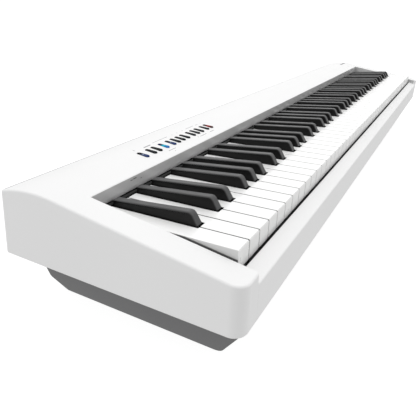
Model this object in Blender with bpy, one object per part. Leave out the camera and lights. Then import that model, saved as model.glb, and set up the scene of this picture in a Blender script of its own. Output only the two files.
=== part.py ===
"""Slab digital piano with 88 hinged keys, as separate sub-parts.

Metres, +Z up. +X runs from the bass to the treble end, and the player sits at -Y.
The origin is on the surface the piano rests on, below the middle of its outline.
"""
import math

import bmesh
import bpy
from mathutils import Matrix, Vector

# Case: outer size, and the thickness of its moulded walls.
HALF_WIDTH = 0.645
FRONT = -0.145
REAR_TOP = 0.134
REAR_BOTTOM = 0.145
CASE_BOTTOM = 0.0665
CHEEK = 0.032
WALL = 0.003
GAP = 0.0003
PLATE_REAR = 0.141
FRONT_CORNER = 0.018
REAR_CORNER = 0.008
WELL = HALF_WIDTH - CHEEK

# Top surface: a straight slope up from the player, then a crown, then a slope down.
SLOPE = math.atan(0.1462)
SLOPE_HEIGHT = 0.1406
CROWN_RADIUS = 0.165
CROWN_Y = 0.086
FALL = math.radians(12.6)
CROWN_STEPS = 8

# Nameboard wall behind the keys, and the rail in front of them.
NAMEBOARD_Y = 0.0403
NAMEBOARD_FOOT = 0.1302
RAIL_BACK = -0.1265
RAIL_FRONT_TOP = 0.108
RAIL_BACK_TOP = 0.1134
RAIL_LIP_FOOT = 0.106

# Keys. An octave is seven white pitches wide.
WHITE_PITCH = 0.0235
KEY_GAP = 0.001
OCTAVE = 7 * WHITE_PITCH
WHITE_KEYS = 52
KEYS_BELOW_FIRST_C = 2
BLACK_WIDTH = 0.0104
NOTCH_HALF = 0.0065
TAIL_HALF = 0.0043
TAIL_PITCH = OCTAVE / 12
WHITE_FRONT = -0.1232
WHITE_TOP = 0.1326
WHITE_FALL = 0.022
BLACK_FRONT = -0.0691
BLACK_TOP = 0.1446
BLACK_FALL = 0.095
BLACK_BACK = 0.0335
BLACK_STICK_TOP = 0.1283
NOTCH_FRONT = BLACK_FRONT - 0.002
TAIL_START = 0.042
TAIL_REAR = 0.126
WHITE_TAIL_TOP = 0.1225
BLACK_TAIL_BOTTOM = 0.1245
BLACK_TAIL_TOP = 0.1345
LUG_BOTTOM = 0.113
LUG_FRONT = 0.108
COMB_FRONT = 0.090
COMB_BACK = 0.102
BLACK_CENTRES = {"Cs": 0.02115, "Ds": 0.04935, "Fs": 0.09064, "Gs": 0.1175, "As": 0.14436}
WHITE_NAMES = ["C", "D", "E", "F", "G", "A", "B"]
WHITE_SLOTS = [0, 2, 4, 5, 7, 9, 11]
SINGLE_OCTAVE = 4
JOINED_OCTAVES = [1, 2, 3, 5, 6, 7]

# The rod that every key turns on, and the slot that straddles it.
PIVOT_Y = 0.118
PIVOT_Z = 0.118
ROD_RADIUS = 0.0025
SLOT_HALF = 0.0029

# Pressed steel chassis under the keys.
CHASSIS_HALF = 0.6115
CHASSIS_TOP = 0.0955
CHASSIS_FRONT = -0.1215
CHASSIS_LEG = 0.103
CHASSIS_REAR = 0.130
PLATE = 0.0015
RIDGE_HALF = 0.002

# Lower shell.
BASE_HALF = 0.604
BASE_BOTTOM = 0.005
SPEAKER_X = 0.42
SPEAKER_HOLE = 0.048
FOOT_X = 0.56
FOOT_Y = 0.085
FOOT_RADIUS = 0.010

# Buttons on the top panel, bass to treble: name, and place of the centre along X.
BUTTONS = [
    ("power_button", -0.4875),
    ("volume_down_button", -0.4705),
    ("volume_up_button", -0.4583),
    ("wireless_button", -0.4420),
    ("piano_tone_button", -0.4253),
    ("electric_tone_button", -0.4131),
    ("strings_tone_button", -0.4009),
    ("other_tone_button", -0.3887),
    ("metronome_button", -0.3727),
    ("slower_button", -0.3605),
    ("faster_button", -0.3483),
    ("play_button", -0.3325),
    ("record_button", -0.3200),
]
BUTTON_Y = 0.0684
BUTTON_HALF_X = 0.0026
BUTTON_HALF_Y = 0.0086
BUTTON_TOP = 0.1520
BUTTON_STEM_TOP = 0.1453
BUTTON_BOTTOM = 0.1438
BUTTON_FLANGE = 0.0012
BOARD_TOP = 0.1411
BOARD_THICKNESS = 0.0016

# Parts on the main board: centre, half side and height.
MAIN_CHIPS = [(0.06, 0.0, 0.011, 0.003), (0.12, 0.02, 0.008, 0.003), (0.17, -0.01, 0.012, 0.012)]

# Socket panel seen through a window in the rear wall. Round sockets: place along X, radius.
JACK_LEFT = 0.020
JACK_RIGHT = 0.180
JACK_Z = 0.0835
JACK_FACE = 0.1368
JACK_DEPTH = 0.108
JACK_HALF = 0.007
ROUND_JACKS = [
    (0.038, 0.0032),
    (0.096, 0.0034),
    (0.130, 0.0034),
    (0.158, 0.0034),
]
USB_X = 0.066
USB_HALF_X = 0.006
USB_HALF_Z = 0.0053

# Finishes: colour, roughness, metallic value.
FINISHES = {
    "case_white": ((0.86, 0.86, 0.86), 0.35, 0.0),
    "key_white": ((0.90, 0.90, 0.89), 0.25, 0.0),
    "key_black": ((0.025, 0.025, 0.027), 0.40, 0.0),
    "base_grey": ((0.20, 0.20, 0.21), 0.55, 0.0),
    "plate_grey": ((0.30, 0.30, 0.31), 0.60, 0.0),
    "steel": ((0.55, 0.56, 0.57), 0.35, 1.0),
    "board_green": ((0.03, 0.16, 0.07), 0.50, 0.0),
    "button_dark": ((0.03, 0.03, 0.04), 0.35, 0.0),
    "button_navy": ((0.02, 0.03, 0.09), 0.35, 0.0),
    "button_blue": ((0.02, 0.45, 0.75), 0.30, 0.0),
    "button_red": ((0.60, 0.03, 0.03), 0.35, 0.0),
    "rubber": ((0.02, 0.02, 0.02), 0.85, 0.0),
    "cone": ((0.05, 0.05, 0.05), 0.75, 0.0),
}


def clear_scene():
    for item in list(bpy.data.objects):
        bpy.data.objects.remove(item, do_unlink=True)


def finish(name):
    """The named material, made the first time it is asked for."""
    found = bpy.data.materials.get(name)
    if found:
        return found
    colour, roughness, metallic = FINISHES[name]
    made = bpy.data.materials.new(name)
    made.use_nodes = True
    shader = made.node_tree.nodes["Principled BSDF"]
    shader.inputs["Base Color"].default_value = (*colour, 1.0)
    shader.inputs["Roughness"].default_value = roughness
    shader.inputs["Metallic"].default_value = metallic
    made.diffuse_color = (*colour, 1.0)
    return made


def add_object(name, mesh_data, finish_name):
    bmesh.ops.recalc_face_normals(mesh_data, faces=mesh_data.faces)
    mesh = bpy.data.meshes.new(name)
    mesh_data.to_mesh(mesh)
    mesh_data.free()
    item = bpy.data.objects.new(name, mesh)
    bpy.context.collection.objects.link(item)
    if finish_name:
        mesh.materials.append(finish(finish_name))
    return item


def place(axis, level, point):
    """A point of an outline drawn across the axis, at a level along it."""
    first, second = point
    if axis == "X":
        return Vector((level, first, second))
    if axis == "Y":
        return Vector((first, level, second))
    return Vector((first, second, level))


def add_prism(mesh_data, outline, axis, low, high):
    """A closed prism: the outline extruded along the axis from low to high."""
    bottom = [mesh_data.verts.new(place(axis, low, point)) for point in outline]
    top = [mesh_data.verts.new(place(axis, high, point)) for point in outline]
    mesh_data.faces.new(bottom)
    mesh_data.faces.new(top)
    count = len(outline)
    for index in range(count):
        after = (index + 1) % count
        mesh_data.faces.new((bottom[index], bottom[after], top[after], top[index]))


def prism(name, outline, axis, low, high, finish_name=None):
    mesh_data = bmesh.new()
    add_prism(mesh_data, outline, axis, low, high)
    return add_object(name, mesh_data, finish_name)


def stack(name, rings, finish_name):
    """A closed body through a stack of (outline, height) rings with equal point counts."""
    mesh_data = bmesh.new()
    levels = []
    for outline, height in rings:
        levels.append([mesh_data.verts.new((x, y, height)) for x, y in outline])
    mesh_data.faces.new(levels[0])
    mesh_data.faces.new(levels[-1])
    count = len(levels[0])
    for lower, upper in zip(levels, levels[1:]):
        for index in range(count):
            after = (index + 1) % count
            mesh_data.faces.new((lower[index], lower[after], upper[after], upper[index]))
    return add_object(name, mesh_data, finish_name)


def turned(name, profile, centre, steps, finish_name):
    """A body turned about a vertical axis; the profile's first and last points are on it."""
    mesh_data = bmesh.new()
    x, y = centre
    start = mesh_data.verts.new((x, y, profile[0][1]))
    end = mesh_data.verts.new((x, y, profile[-1][1]))
    rings = []
    for radius, height in profile[1:-1]:
        turns = [2 * math.pi * step / steps for step in range(steps)]
        ring = [(x + radius * math.cos(turn), y + radius * math.sin(turn), height) for turn in turns]
        rings.append([mesh_data.verts.new(point) for point in ring])
    for index in range(steps):
        after = (index + 1) % steps
        mesh_data.faces.new((start, rings[0][index], rings[0][after]))
        mesh_data.faces.new((end, rings[-1][index], rings[-1][after]))
        for lower, upper in zip(rings, rings[1:]):
            mesh_data.faces.new((lower[index], lower[after], upper[after], upper[index]))
    return add_object(name, mesh_data, finish_name)


def combine(target, operand, operation):
    modifier = target.modifiers.new(operation.title(), "BOOLEAN")
    modifier.operation = operation
    modifier.solver = "EXACT"
    modifier.object = operand


def as_guide(item):
    item.hide_render = True
    item.display_type = "WIRE"
    return item


def move_origin(item, origin):
    """Puts the object's origin on its joint's axis and leaves its shape where it is."""
    item.data.transform(Matrix.Translation(-Vector(origin)))
    item.location = origin


def arc(centre, radius, start, end, steps):
    angles = [start + (end - start) * step / steps for step in range(steps + 1)]
    return [(centre[0] + radius * math.cos(a), centre[1] + radius * math.sin(a)) for a in angles]


def rectangle(low_a, high_a, low_b, high_b):
    return [(low_a, low_b), (high_a, low_b), (high_a, high_b), (low_a, high_b)]


def circle(centre, radius, steps=12):
    return arc(centre, radius, 0, 2 * math.pi * (steps - 1) / steps, steps - 1)


def rounded(low_a, high_a, low_b, high_b, radii, steps=4):
    """A rectangle with a radius for each corner: low-low, high-low, high-high, low-high."""
    corners = [(low_a, low_b), (high_a, low_b), (high_a, high_b), (low_a, high_b)]
    inward = [(1, 1), (-1, 1), (-1, -1), (1, -1)]
    points = []
    for number, (corner, side, radius) in enumerate(zip(corners, inward, radii)):
        if radius == 0:
            points.append(corner)
            continue
        centre = (corner[0] + side[0] * radius, corner[1] + side[1] * radius)
        start = math.pi + number * math.pi / 2
        points += arc(centre, radius, start, start + math.pi / 2, steps)
    return points


def slope_z(y):
    return SLOPE_HEIGHT + math.tan(SLOPE) * y


def top_outline(start_y, inset):
    """The top surface from start_y back to the rear face's foot, set in by the inset."""
    crown_z = slope_z(CROWN_Y - CROWN_RADIUS * math.sin(SLOPE)) - CROWN_RADIUS * math.cos(SLOPE)
    radius = CROWN_RADIUS - inset
    points = [(start_y, slope_z(start_y) - inset / math.cos(SLOPE))]
    points += arc((CROWN_Y, crown_z), radius, math.pi / 2 + SLOPE, math.pi / 2 - FALL, CROWN_STEPS)
    last_y, last_z = points[-1]
    points.append((REAR_TOP - inset, last_z - (REAR_TOP - inset - last_y) * math.tan(FALL)))
    points.append((REAR_BOTTOM - inset, CASE_BOTTOM))
    return points


def cheek_plan(inset, inner_x):
    """Plan of the left end cap, out to inner_x, with its two outer corners rounded."""
    radii = [FRONT_CORNER - inset, 0, 0, REAR_CORNER - inset]
    return rounded(-HALF_WIDTH + inset, inner_x, FRONT + inset, REAR_BOTTOM - inset, radii)


def mirror_x(outline):
    return [(-x, y) for x, y in outline]


def end_cap(name, side):
    """Moulded cheek at one end: a shell that is open below, where the bottom plate fits."""
    flip = mirror_x if side > 0 else list
    profile = [(FRONT, CASE_BOTTOM)] + top_outline(FRONT, 0)
    cap = prism(name, flip(cheek_plan(0, -WELL)), "Z", CASE_BOTTOM, 0.16, "case_white")
    combine(cap, as_guide(prism(name + "_profile", profile, "X", -1, 1)), "INTERSECT")
    inner = [(FRONT + WALL, 0.05)] + top_outline(FRONT + WALL, WALL)[:-1] + [(REAR_BOTTOM - WALL, 0.05)]
    hollow = as_guide(prism(name + "_hollow", flip(cheek_plan(WALL, -WELL - WALL)), "Z", 0.06, 0.15))
    combine(hollow, as_guide(prism(name + "_inner", inner, "X", -1, 1)), "INTERSECT")
    combine(cap, hollow, "DIFFERENCE")
    seat_plan = flip(cheek_plan(WALL, -WELL + WALL))
    seat = prism(name + "_seat", seat_plan, "Z", 0.05, CASE_BOTTOM + WALL + GAP)
    combine(cap, as_guide(seat), "DIFFERENCE")


def button_plan(centre_x, grow):
    half_x = BUTTON_HALF_X + grow
    half_y = BUTTON_HALF_Y + grow
    radii = [half_x * 0.98] * 4
    box = (centre_x - half_x, centre_x + half_x, BUTTON_Y - half_y, BUTTON_Y + half_y)
    return rounded(*box, radii, steps=2)


def top_panel():
    """One bent moulding: nameboard wall, top, and rear wall with the socket window."""
    outer = [(NAMEBOARD_Y, NAMEBOARD_FOOT)] + top_outline(NAMEBOARD_Y, 0)
    inner = top_outline(NAMEBOARD_Y + WALL, WALL)
    inner = [(NAMEBOARD_Y + WALL, NAMEBOARD_FOOT)] + inner
    panel = prism("top_panel", outer + inner[::-1], "X", -WELL + GAP, WELL - GAP, "case_white")
    holes = bmesh.new()
    for _, centre_x in BUTTONS:
        add_prism(holes, button_plan(centre_x, GAP), "Z", 0.14, 0.16)
    window = rectangle(JACK_LEFT + 0.005, JACK_RIGHT - 0.005, 0.073, 0.095)
    add_prism(holes, window, "Y", 0.12, 0.16)
    combine(panel, as_guide(add_object("panel_holes", holes, None)), "DIFFERENCE")


def front_rail():
    """Sloping rail in front of the keys, with a lip that hangs behind it."""
    rise = (RAIL_BACK_TOP - RAIL_FRONT_TOP) / (RAIL_BACK - FRONT)
    under = WALL * math.hypot(1, rise)
    outline = [
        (FRONT, CASE_BOTTOM),
        (FRONT, RAIL_FRONT_TOP),
        (RAIL_BACK, RAIL_BACK_TOP),
        (RAIL_BACK, RAIL_LIP_FOOT),
        (RAIL_BACK - WALL, RAIL_LIP_FOOT),
        (RAIL_BACK - WALL, RAIL_BACK_TOP - WALL * rise - under),
        (FRONT + WALL, RAIL_FRONT_TOP + WALL * rise - under),
        (FRONT + WALL, CASE_BOTTOM),
    ]
    prism("front_rail", outline, "X", -WELL + GAP, WELL - GAP, "case_white")


def bottom_plate():
    """Flat closing plate, nested inside the feet of the case walls."""
    inset = WALL + GAP
    front = FRONT_CORNER - inset
    rear = REAR_CORNER - inset
    half = HALF_WIDTH - inset
    plan = rounded(-half, half, FRONT + inset, PLATE_REAR, [front, front, rear, rear])
    prism("bottom_plate", plan, "Z", CASE_BOTTOM, CASE_BOTTOM + WALL, "plate_grey")


def base_tray():
    """Lower shell that carries the speakers: steep sides, chamfered to a flat floor."""
    top = CASE_BOTTOM - GAP
    outer = [(-0.131, top), (-0.1245, 0.0305), (-0.1195, 0.0215), (-0.1105, 0.0095)]
    outer += [(-0.103, BASE_BOTTOM), (0.103, BASE_BOTTOM)]
    outer += [(0.118, 0.0110), (0.129, 0.0170), (0.1355, 0.0280), (0.137, top)]
    inner = [(-0.128, 0.08), (-0.1217, 0.0310), (-0.1170, 0.0230), (-0.1090, 0.0122), (-0.1015, 0.008)]
    inner += [(0.1022, 0.008), (0.1165, 0.0138), (0.1268, 0.0192), (0.1326, 0.0288), (0.134, 0.08)]
    tray = prism("base_tray", outer, "X", -BASE_HALF, BASE_HALF, "base_grey")
    hollow = prism("tray_hollow", inner, "X", -BASE_HALF + WALL, BASE_HALF - WALL)
    combine(tray, as_guide(hollow), "DIFFERENCE")
    holes = bmesh.new()
    for side in (-1, 1):
        add_prism(holes, circle((side * SPEAKER_X, 0), SPEAKER_HOLE, 24), "Z", 0, 0.02)
    combine(tray, as_guide(add_object("speaker_holes", holes, None)), "DIFFERENCE")


def speaker(name, side):
    """Down-firing speaker: dust cap, cone, rim, basket and magnet."""
    rest = BASE_BOTTOM + WALL + GAP
    profile = [
        (0, rest + 0.0110),
        (0.014, rest + 0.0125),
        (0.044, rest + 0.0020),
        (0.046, rest),
        (0.054, rest),
        (0.054, rest + 0.0020),
        (0.049, rest + 0.0030),
        (0.027, rest + 0.0230),
        (0.027, rest + 0.0390),
        (0, rest + 0.0390),
    ]
    turned(name, profile, (side * SPEAKER_X, 0), 24, "cone")


def speaker_grille(name, side):
    """Slotted disc that fills the speaker's hole in the tray."""
    low = BASE_BOTTOM + GAP
    disc = circle((side * SPEAKER_X, 0), SPEAKER_HOLE - GAP, 24)
    grille = prism(name, disc, "Z", low, low + 0.002, "cone")
    slots = bmesh.new()
    for row in range(-3, 4):
        y = row * 0.011
        reach = math.sqrt((SPEAKER_HOLE - 0.006) ** 2 - y ** 2)
        plan = rectangle(side * SPEAKER_X - reach, side * SPEAKER_X + reach, y - 0.0015, y + 0.0015)
        add_prism(slots, plan, "Z", 0, 0.02)
    combine(grille, as_guide(add_object(name + "_slots", slots, None)), "DIFFERENCE")


def foot(name, centre):
    """Round rubber foot under one corner of the tray."""
    top = BASE_BOTTOM - GAP
    profile = [(0, 0), (FOOT_RADIUS - 0.001, 0), (FOOT_RADIUS, 0.001), (FOOT_RADIUS, top), (0, top)]
    turned(name, profile, centre, 16, "rubber")


def key_chassis():
    """Pressed chassis: front leg, plate, rear leg, and the ridge under the pivot rod."""
    foot_z = CASE_BOTTOM + WALL + GAP
    under = CHASSIS_TOP - PLATE
    outline = [
        (CHASSIS_FRONT, foot_z),
        (CHASSIS_FRONT, CHASSIS_TOP),
        (PIVOT_Y - RIDGE_HALF, CHASSIS_TOP),
        (PIVOT_Y - RIDGE_HALF, PIVOT_Z - ROD_RADIUS - GAP),
        (PIVOT_Y + RIDGE_HALF, PIVOT_Z - ROD_RADIUS - GAP),
        (PIVOT_Y + RIDGE_HALF, CHASSIS_TOP),
        (CHASSIS_REAR, CHASSIS_TOP),
        (CHASSIS_REAR, under),
        (CHASSIS_LEG, under),
        (CHASSIS_LEG, foot_z),
        (CHASSIS_LEG - PLATE, foot_z),
        (CHASSIS_LEG - PLATE, under),
        (CHASSIS_FRONT + PLATE, under),
        (CHASSIS_FRONT + PLATE, foot_z),
    ]
    prism("key_chassis", outline, "X", -CHASSIS_HALF, CHASSIS_HALF, "steel")


def boards():
    """Key sensor strip, button board with its switches, and the main board."""
    sensor = rectangle(-0.605, 0.605, 0.050, 0.075)
    low = CHASSIS_TOP + GAP
    prism("sensor_board", sensor, "Z", low, low + BOARD_THICKNESS, "board_green")
    button_board = rectangle(-0.497, -0.311, 0.055, 0.082)
    panel = prism("panel_board", button_board, "Z", BOARD_TOP - BOARD_THICKNESS, BOARD_TOP, "board_green")
    switches = bmesh.new()
    for _, centre_x in BUTTONS:
        plan = rectangle(centre_x - 0.003, centre_x + 0.003, BUTTON_Y - 0.003, BUTTON_Y + 0.003)
        add_prism(switches, plan, "Z", BOARD_TOP - 0.0005, BUTTON_BOTTOM - 0.0012)
    combine(panel, as_guide(add_object("switches", switches, None)), "UNION")
    low = CASE_BOTTOM + WALL + GAP
    area = rectangle(0.02, 0.20, -0.04, 0.06)
    main = prism("main_board", area, "Z", low, low + BOARD_THICKNESS, "board_green")
    chips = bmesh.new()
    for x, y, half, height in MAIN_CHIPS:
        plan = rectangle(x - half, x + half, y - half, y + half)
        add_prism(chips, plan, "Z", low + BOARD_THICKNESS / 2, low + height)
    combine(main, as_guide(add_object("chips", chips, None)), "UNION")


def jack_panel():
    """Socket plate with the bodies of its sockets behind it, and their blind holes."""
    plate = rectangle(JACK_LEFT, JACK_RIGHT, 0.070, 0.0985)
    panel = prism("jack_panel", plate, "Y", JACK_FACE - WALL, JACK_FACE, "button_dark")
    bodies = bmesh.new()
    holes = bmesh.new()
    for x, radius in ROUND_JACKS:
        body = rectangle(x - JACK_HALF, x + JACK_HALF, JACK_Z - JACK_HALF, JACK_Z + JACK_HALF)
        add_prism(bodies, body, "Y", JACK_DEPTH, JACK_FACE - 0.001)
        add_prism(holes, circle((x, JACK_Z), radius), "Y", JACK_DEPTH + 0.006, 0.15)
    usb_half = USB_HALF_X + 0.0015
    usb_body = rectangle(USB_X - usb_half, USB_X + usb_half, JACK_Z - JACK_HALF, JACK_Z + JACK_HALF)
    add_prism(bodies, usb_body, "Y", JACK_DEPTH + 0.008, JACK_FACE - 0.001)
    usb_hole = rectangle(USB_X - USB_HALF_X, USB_X + USB_HALF_X, JACK_Z - USB_HALF_Z, JACK_Z + USB_HALF_Z)
    add_prism(holes, usb_hole, "Y", JACK_FACE - 0.012, 0.15)
    combine(panel, as_guide(add_object("jack_bodies", bodies, None)), "UNION")
    combine(panel, as_guide(add_object("jack_holes", holes, None)), "DIFFERENCE")


def pivot_rod():
    """Steel rod along the chassis ridge, the hinge of every key."""
    section = circle((PIVOT_Y, PIVOT_Z), ROD_RADIUS, 12)
    prism("pivot_rod", section, "X", -CHASSIS_HALF, CHASSIS_HALF, "steel")


def buttons():
    """Push buttons: a long cap through the panel on a wider flange that holds it in."""
    tints = {
        "power_button": "button_navy",
        "piano_tone_button": "button_navy",
        "wireless_button": "button_blue",
        "record_button": "button_red",
    }
    for name, centre_x in BUTTONS:
        flange = button_plan(centre_x, BUTTON_FLANGE)
        cap = button_plan(centre_x, 0)
        rings = [(flange, BUTTON_BOTTOM), (flange, BUTTON_STEM_TOP)]
        rings += [(cap, BUTTON_STEM_TOP), (cap, BUTTON_TOP)]
        item = stack(name, rings, tints.get(name, "button_dark"))
        move_origin(item, (centre_x, BUTTON_Y, BUTTON_TOP))


def slot_outline():
    """The rear end of every key's side view: a lug with a slot over the pivot rod."""
    top = PIVOT_Z + SLOT_HALF
    return [
        (TAIL_REAR, LUG_BOTTOM),
        (PIVOT_Y + SLOT_HALF, LUG_BOTTOM),
        (PIVOT_Y + SLOT_HALF, top),
        (PIVOT_Y - SLOT_HALF, top),
        (PIVOT_Y - SLOT_HALF, LUG_BOTTOM),
    ]


def white_profile():
    """Side view of a white key: flat top, hanging front lip, and a low tail."""
    neck_top = WHITE_TOP - WHITE_FALL * (TAIL_START - WHITE_FRONT)
    outline = [
        (WHITE_FRONT, 0.107),
        (WHITE_FRONT, WHITE_TOP),
        (TAIL_START, neck_top),
        (0.050, WHITE_TAIL_TOP),
        (LUG_FRONT, WHITE_TAIL_TOP),
        (LUG_FRONT + 0.002, WHITE_TAIL_TOP + 0.003),
        (TAIL_REAR, WHITE_TAIL_TOP + 0.003),
    ]
    return outline + slot_outline() + [(0.060, LUG_BOTTOM), (-0.112, 0.117), (-0.115, 0.107)]


def black_profile():
    """Side view of a black key: sloping tip, falling top, and a tail above the white ones."""
    back_top = BLACK_TOP - BLACK_FALL * (BLACK_BACK + 0.059)
    outline = [
        (BLACK_FRONT, 0.118),
        (BLACK_FRONT, 0.1322),
        (-0.0620, BLACK_TOP - 0.0010),
        (-0.0590, BLACK_TOP),
        (BLACK_BACK, back_top),
        (BLACK_BACK, BLACK_STICK_TOP),
        (0.046, BLACK_STICK_TOP),
        (0.056, BLACK_TAIL_TOP),
        (TAIL_REAR, BLACK_TAIL_TOP),
    ]
    outline += slot_outline()
    outline += [(LUG_FRONT, LUG_BOTTOM), (LUG_FRONT, BLACK_TAIL_BOTTOM), (0.084, BLACK_TAIL_BOTTOM)]
    return outline + [(0.080, 0.118)]


def white_finger(octave_x, index, sides=("left", "right")):
    """Steps of one white key in plan, front to back: (start y, left x, right x)."""
    left = octave_x + index * WHITE_PITCH + KEY_GAP / 2
    right = left + WHITE_PITCH - KEY_GAP
    neck_left = left
    neck_right = right
    for centre in BLACK_CENTRES.values():
        centre += octave_x
        if left < centre + NOTCH_HALF < right and "left" in sides:
            neck_left = centre + NOTCH_HALF
        if left < centre - NOTCH_HALF < right and "right" in sides:
            neck_right = centre - NOTCH_HALF
    slot = octave_x + (WHITE_SLOTS[index] + 0.5) * TAIL_PITCH
    tail = (TAIL_START, slot - TAIL_HALF, slot + TAIL_HALF)
    return [(WHITE_FRONT - 0.01, left, right), (NOTCH_FRONT, neck_left, neck_right), tail]


def black_finger(octave_x, name):
    centre = octave_x + BLACK_CENTRES[name]
    head = (BLACK_FRONT - 0.01, centre - BLACK_WIDTH / 2, centre + BLACK_WIDTH / 2)
    return [head, (TAIL_START, centre - TAIL_HALF, centre + TAIL_HALF)]


def comb_plan(fingers):
    """Plan outline of keys side by side, joined behind the nameboard by a comb bar."""
    points = []
    for steps in fingers:
        left_side = [(steps[-1][1], COMB_FRONT)]
        right_side = [(steps[-1][2], COMB_FRONT)]
        for behind, ahead in zip(steps[:0:-1], steps[-2::-1]):
            left_side += [(behind[1], behind[0]), (ahead[1], behind[0])]
            right_side += [(behind[2], behind[0]), (ahead[2], behind[0])]
        left_side.append((steps[0][1], steps[0][0]))
        right_side.append((steps[0][2], steps[0][0]))
        points += left_side + right_side[::-1]
    for steps in reversed(fingers):
        left, right = steps[-1][1:]
        rear = TAIL_REAR + 0.01
        points += [(right, COMB_BACK), (right, rear), (left, rear), (left, COMB_BACK)]
    return without_repeats(points)


def without_repeats(points):
    kept = []
    for point in points:
        if not kept or math.dist(point, kept[-1]) > 1e-6:
            kept.append(point)
    return kept


def key(name, fingers, profile, finish_name):
    """One key or one joined set: its plan outline cut to its side view."""
    item = prism(name, comb_plan(fingers), "Z", 0.10, 0.16, finish_name)
    centre_x = (fingers[0][0][1] + fingers[-1][0][2]) / 2
    move_origin(item, (centre_x, PIVOT_Y, PIVOT_Z))
    combine(item, profile, "INTERSECT")


def octave_start(number):
    """X of the left edge of the C key of an octave."""
    first_c = (KEYS_BELOW_FIRST_C - WHITE_KEYS / 2) * WHITE_PITCH
    return first_c + (number - 1) * OCTAVE


def keyboard():
    """All 88 keys: the lowest three and the middle octave singly, the rest as joined sets."""
    white = as_guide(prism("white_side_view", white_profile(), "X", -0.7, 0.7))
    black = as_guide(prism("black_side_view", black_profile(), "X", -0.7, 0.7))
    bass = octave_start(0)
    key("white_key_A0", [white_finger(bass, 5, ("right",))], white, "key_white")
    key("white_key_B0", [white_finger(bass, 6)], white, "key_white")
    key("black_key_As0", [black_finger(bass, "As")], black, "key_black")
    middle = octave_start(SINGLE_OCTAVE)
    for index, letter in enumerate(WHITE_NAMES):
        key(f"white_key_{letter}{SINGLE_OCTAVE}", [white_finger(middle, index)], white, "key_white")
    for letter in BLACK_CENTRES:
        key(f"black_key_{letter}{SINGLE_OCTAVE}", [black_finger(middle, letter)], black, "key_black")
    for number in JOINED_OCTAVES:
        start = octave_start(number)
        whites = [white_finger(start, index) for index in range(7)]
        if number == JOINED_OCTAVES[-1]:
            whites.append(white_finger(octave_start(number + 1), 0, sides=()))
        blacks = [black_finger(start, letter) for letter in BLACK_CENTRES]
        key(f"white_keys_octave_{number}", whites, white, "key_white")
        key(f"black_keys_octave_{number}", blacks, black, "key_black")


def main():
    clear_scene()
    end_cap("left_end_cap", -1)
    end_cap("right_end_cap", 1)
    top_panel()
    front_rail()
    bottom_plate()
    base_tray()
    for word, side in (("left", -1), ("right", 1)):
        speaker(f"speaker_{word}", side)
        speaker_grille(f"speaker_grille_{word}", side)
        foot(f"front_{word}_foot", (side * FOOT_X, -FOOT_Y))
        foot(f"rear_{word}_foot", (side * FOOT_X, FOOT_Y))
    key_chassis()
    pivot_rod()
    boards()
    jack_panel()
    buttons()
    keyboard()


main()
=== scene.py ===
"""The looks of a slab digital piano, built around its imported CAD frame. Metres, +Z up."""
import math

import bmesh
import bpy
from mathutils import Matrix, Vector


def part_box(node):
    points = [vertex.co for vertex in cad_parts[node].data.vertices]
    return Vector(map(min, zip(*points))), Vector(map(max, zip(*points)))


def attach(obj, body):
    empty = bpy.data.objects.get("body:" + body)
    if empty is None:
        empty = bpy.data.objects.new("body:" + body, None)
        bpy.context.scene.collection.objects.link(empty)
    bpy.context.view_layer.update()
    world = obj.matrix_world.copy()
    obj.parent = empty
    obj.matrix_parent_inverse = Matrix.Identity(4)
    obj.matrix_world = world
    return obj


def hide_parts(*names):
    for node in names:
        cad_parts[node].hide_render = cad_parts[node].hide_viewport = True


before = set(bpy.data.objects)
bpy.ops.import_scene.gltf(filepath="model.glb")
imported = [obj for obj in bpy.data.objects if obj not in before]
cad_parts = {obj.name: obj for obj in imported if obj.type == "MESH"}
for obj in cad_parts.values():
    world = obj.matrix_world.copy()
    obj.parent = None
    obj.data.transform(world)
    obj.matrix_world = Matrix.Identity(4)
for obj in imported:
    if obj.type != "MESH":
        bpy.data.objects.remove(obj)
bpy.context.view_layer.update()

# Sizes read from the frame.
CAP_LOW, CAP_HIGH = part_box("left_end_cap")
RAIL_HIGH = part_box("front_rail")[1]
TRAY_LOW, TRAY_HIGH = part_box("base_tray")
ROD_LOW, ROD_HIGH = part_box("pivot_rod")
HALF = -CAP_LOW.x
WELL = -CAP_HIGH.x
FRONT = CAP_LOW.y
REAR_FOOT = CAP_HIGH.y
CASE_FOOT = CAP_LOW.z
CROWN = CAP_HIGH.z
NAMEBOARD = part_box("top_panel")[0].y
RAIL_BACK = RAIL_HIGH.y
RAIL_TOP = RAIL_HIGH.z
PIVOT = (ROD_LOW + ROD_HIGH) / 2
WHITE_LOW, WHITE_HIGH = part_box("white_key_C4")
BLACK_LOW, BLACK_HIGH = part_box("black_key_Cs4")

# The case's curves. Its upright corners are a little tighter than the CAD's.
SLOPE = math.atan(0.1462)
CROWN_RADIUS = 0.165
CROWN_Y = 0.086
CROWN_STEPS = 14
FALL = math.radians(12.6)
REAR_TOP = REAR_FOOT - 0.011
LEAN_START = 0.112
CORNER_FRONT = 0.014
CORNER_REAR = 0.0024
CORNER_WELL = 0.0015
WALL = 0.003
NAMEBOARD_FOOT = 0.1302
CHEEK_RADIUS = 0.0034
EDGE_OUTER = 0.0022
EDGE_WELL = 0.0010
EDGE_FOOT = 0.0016
EDGE_STEPS = 5
RAIL_FRONT_TOP = 0.108
RAIL_LIP = 0.106
PLATE_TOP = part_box("bottom_plate")[1].z
PLATE_STATIONS = (FRONT + 0.0045, FRONT + 0.0055)

# Keys, on the CAD's pitch, with slightly wider gaps.
PITCH = 0.0235
KEY_GAP = 0.0016
OCTAVE = 7 * PITCH
NOTCH_HALF = 0.0067
TAIL_HALF = 0.0043
TAIL_START = 0.042
COMB = (0.090, 0.102)
SLOT_HALF = 0.0029
BLACK_BACK = 0.0335
BLACK_CENTRES = {"Cs": 0.02115, "Ds": 0.04935, "Fs": 0.09064, "Gs": 0.1175, "As": 0.14436}
WHITE_SLOTS = [0, 2, 4, 5, 7, 9, 11]
WHITE_LETTERS = "CDEFGAB"


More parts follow.
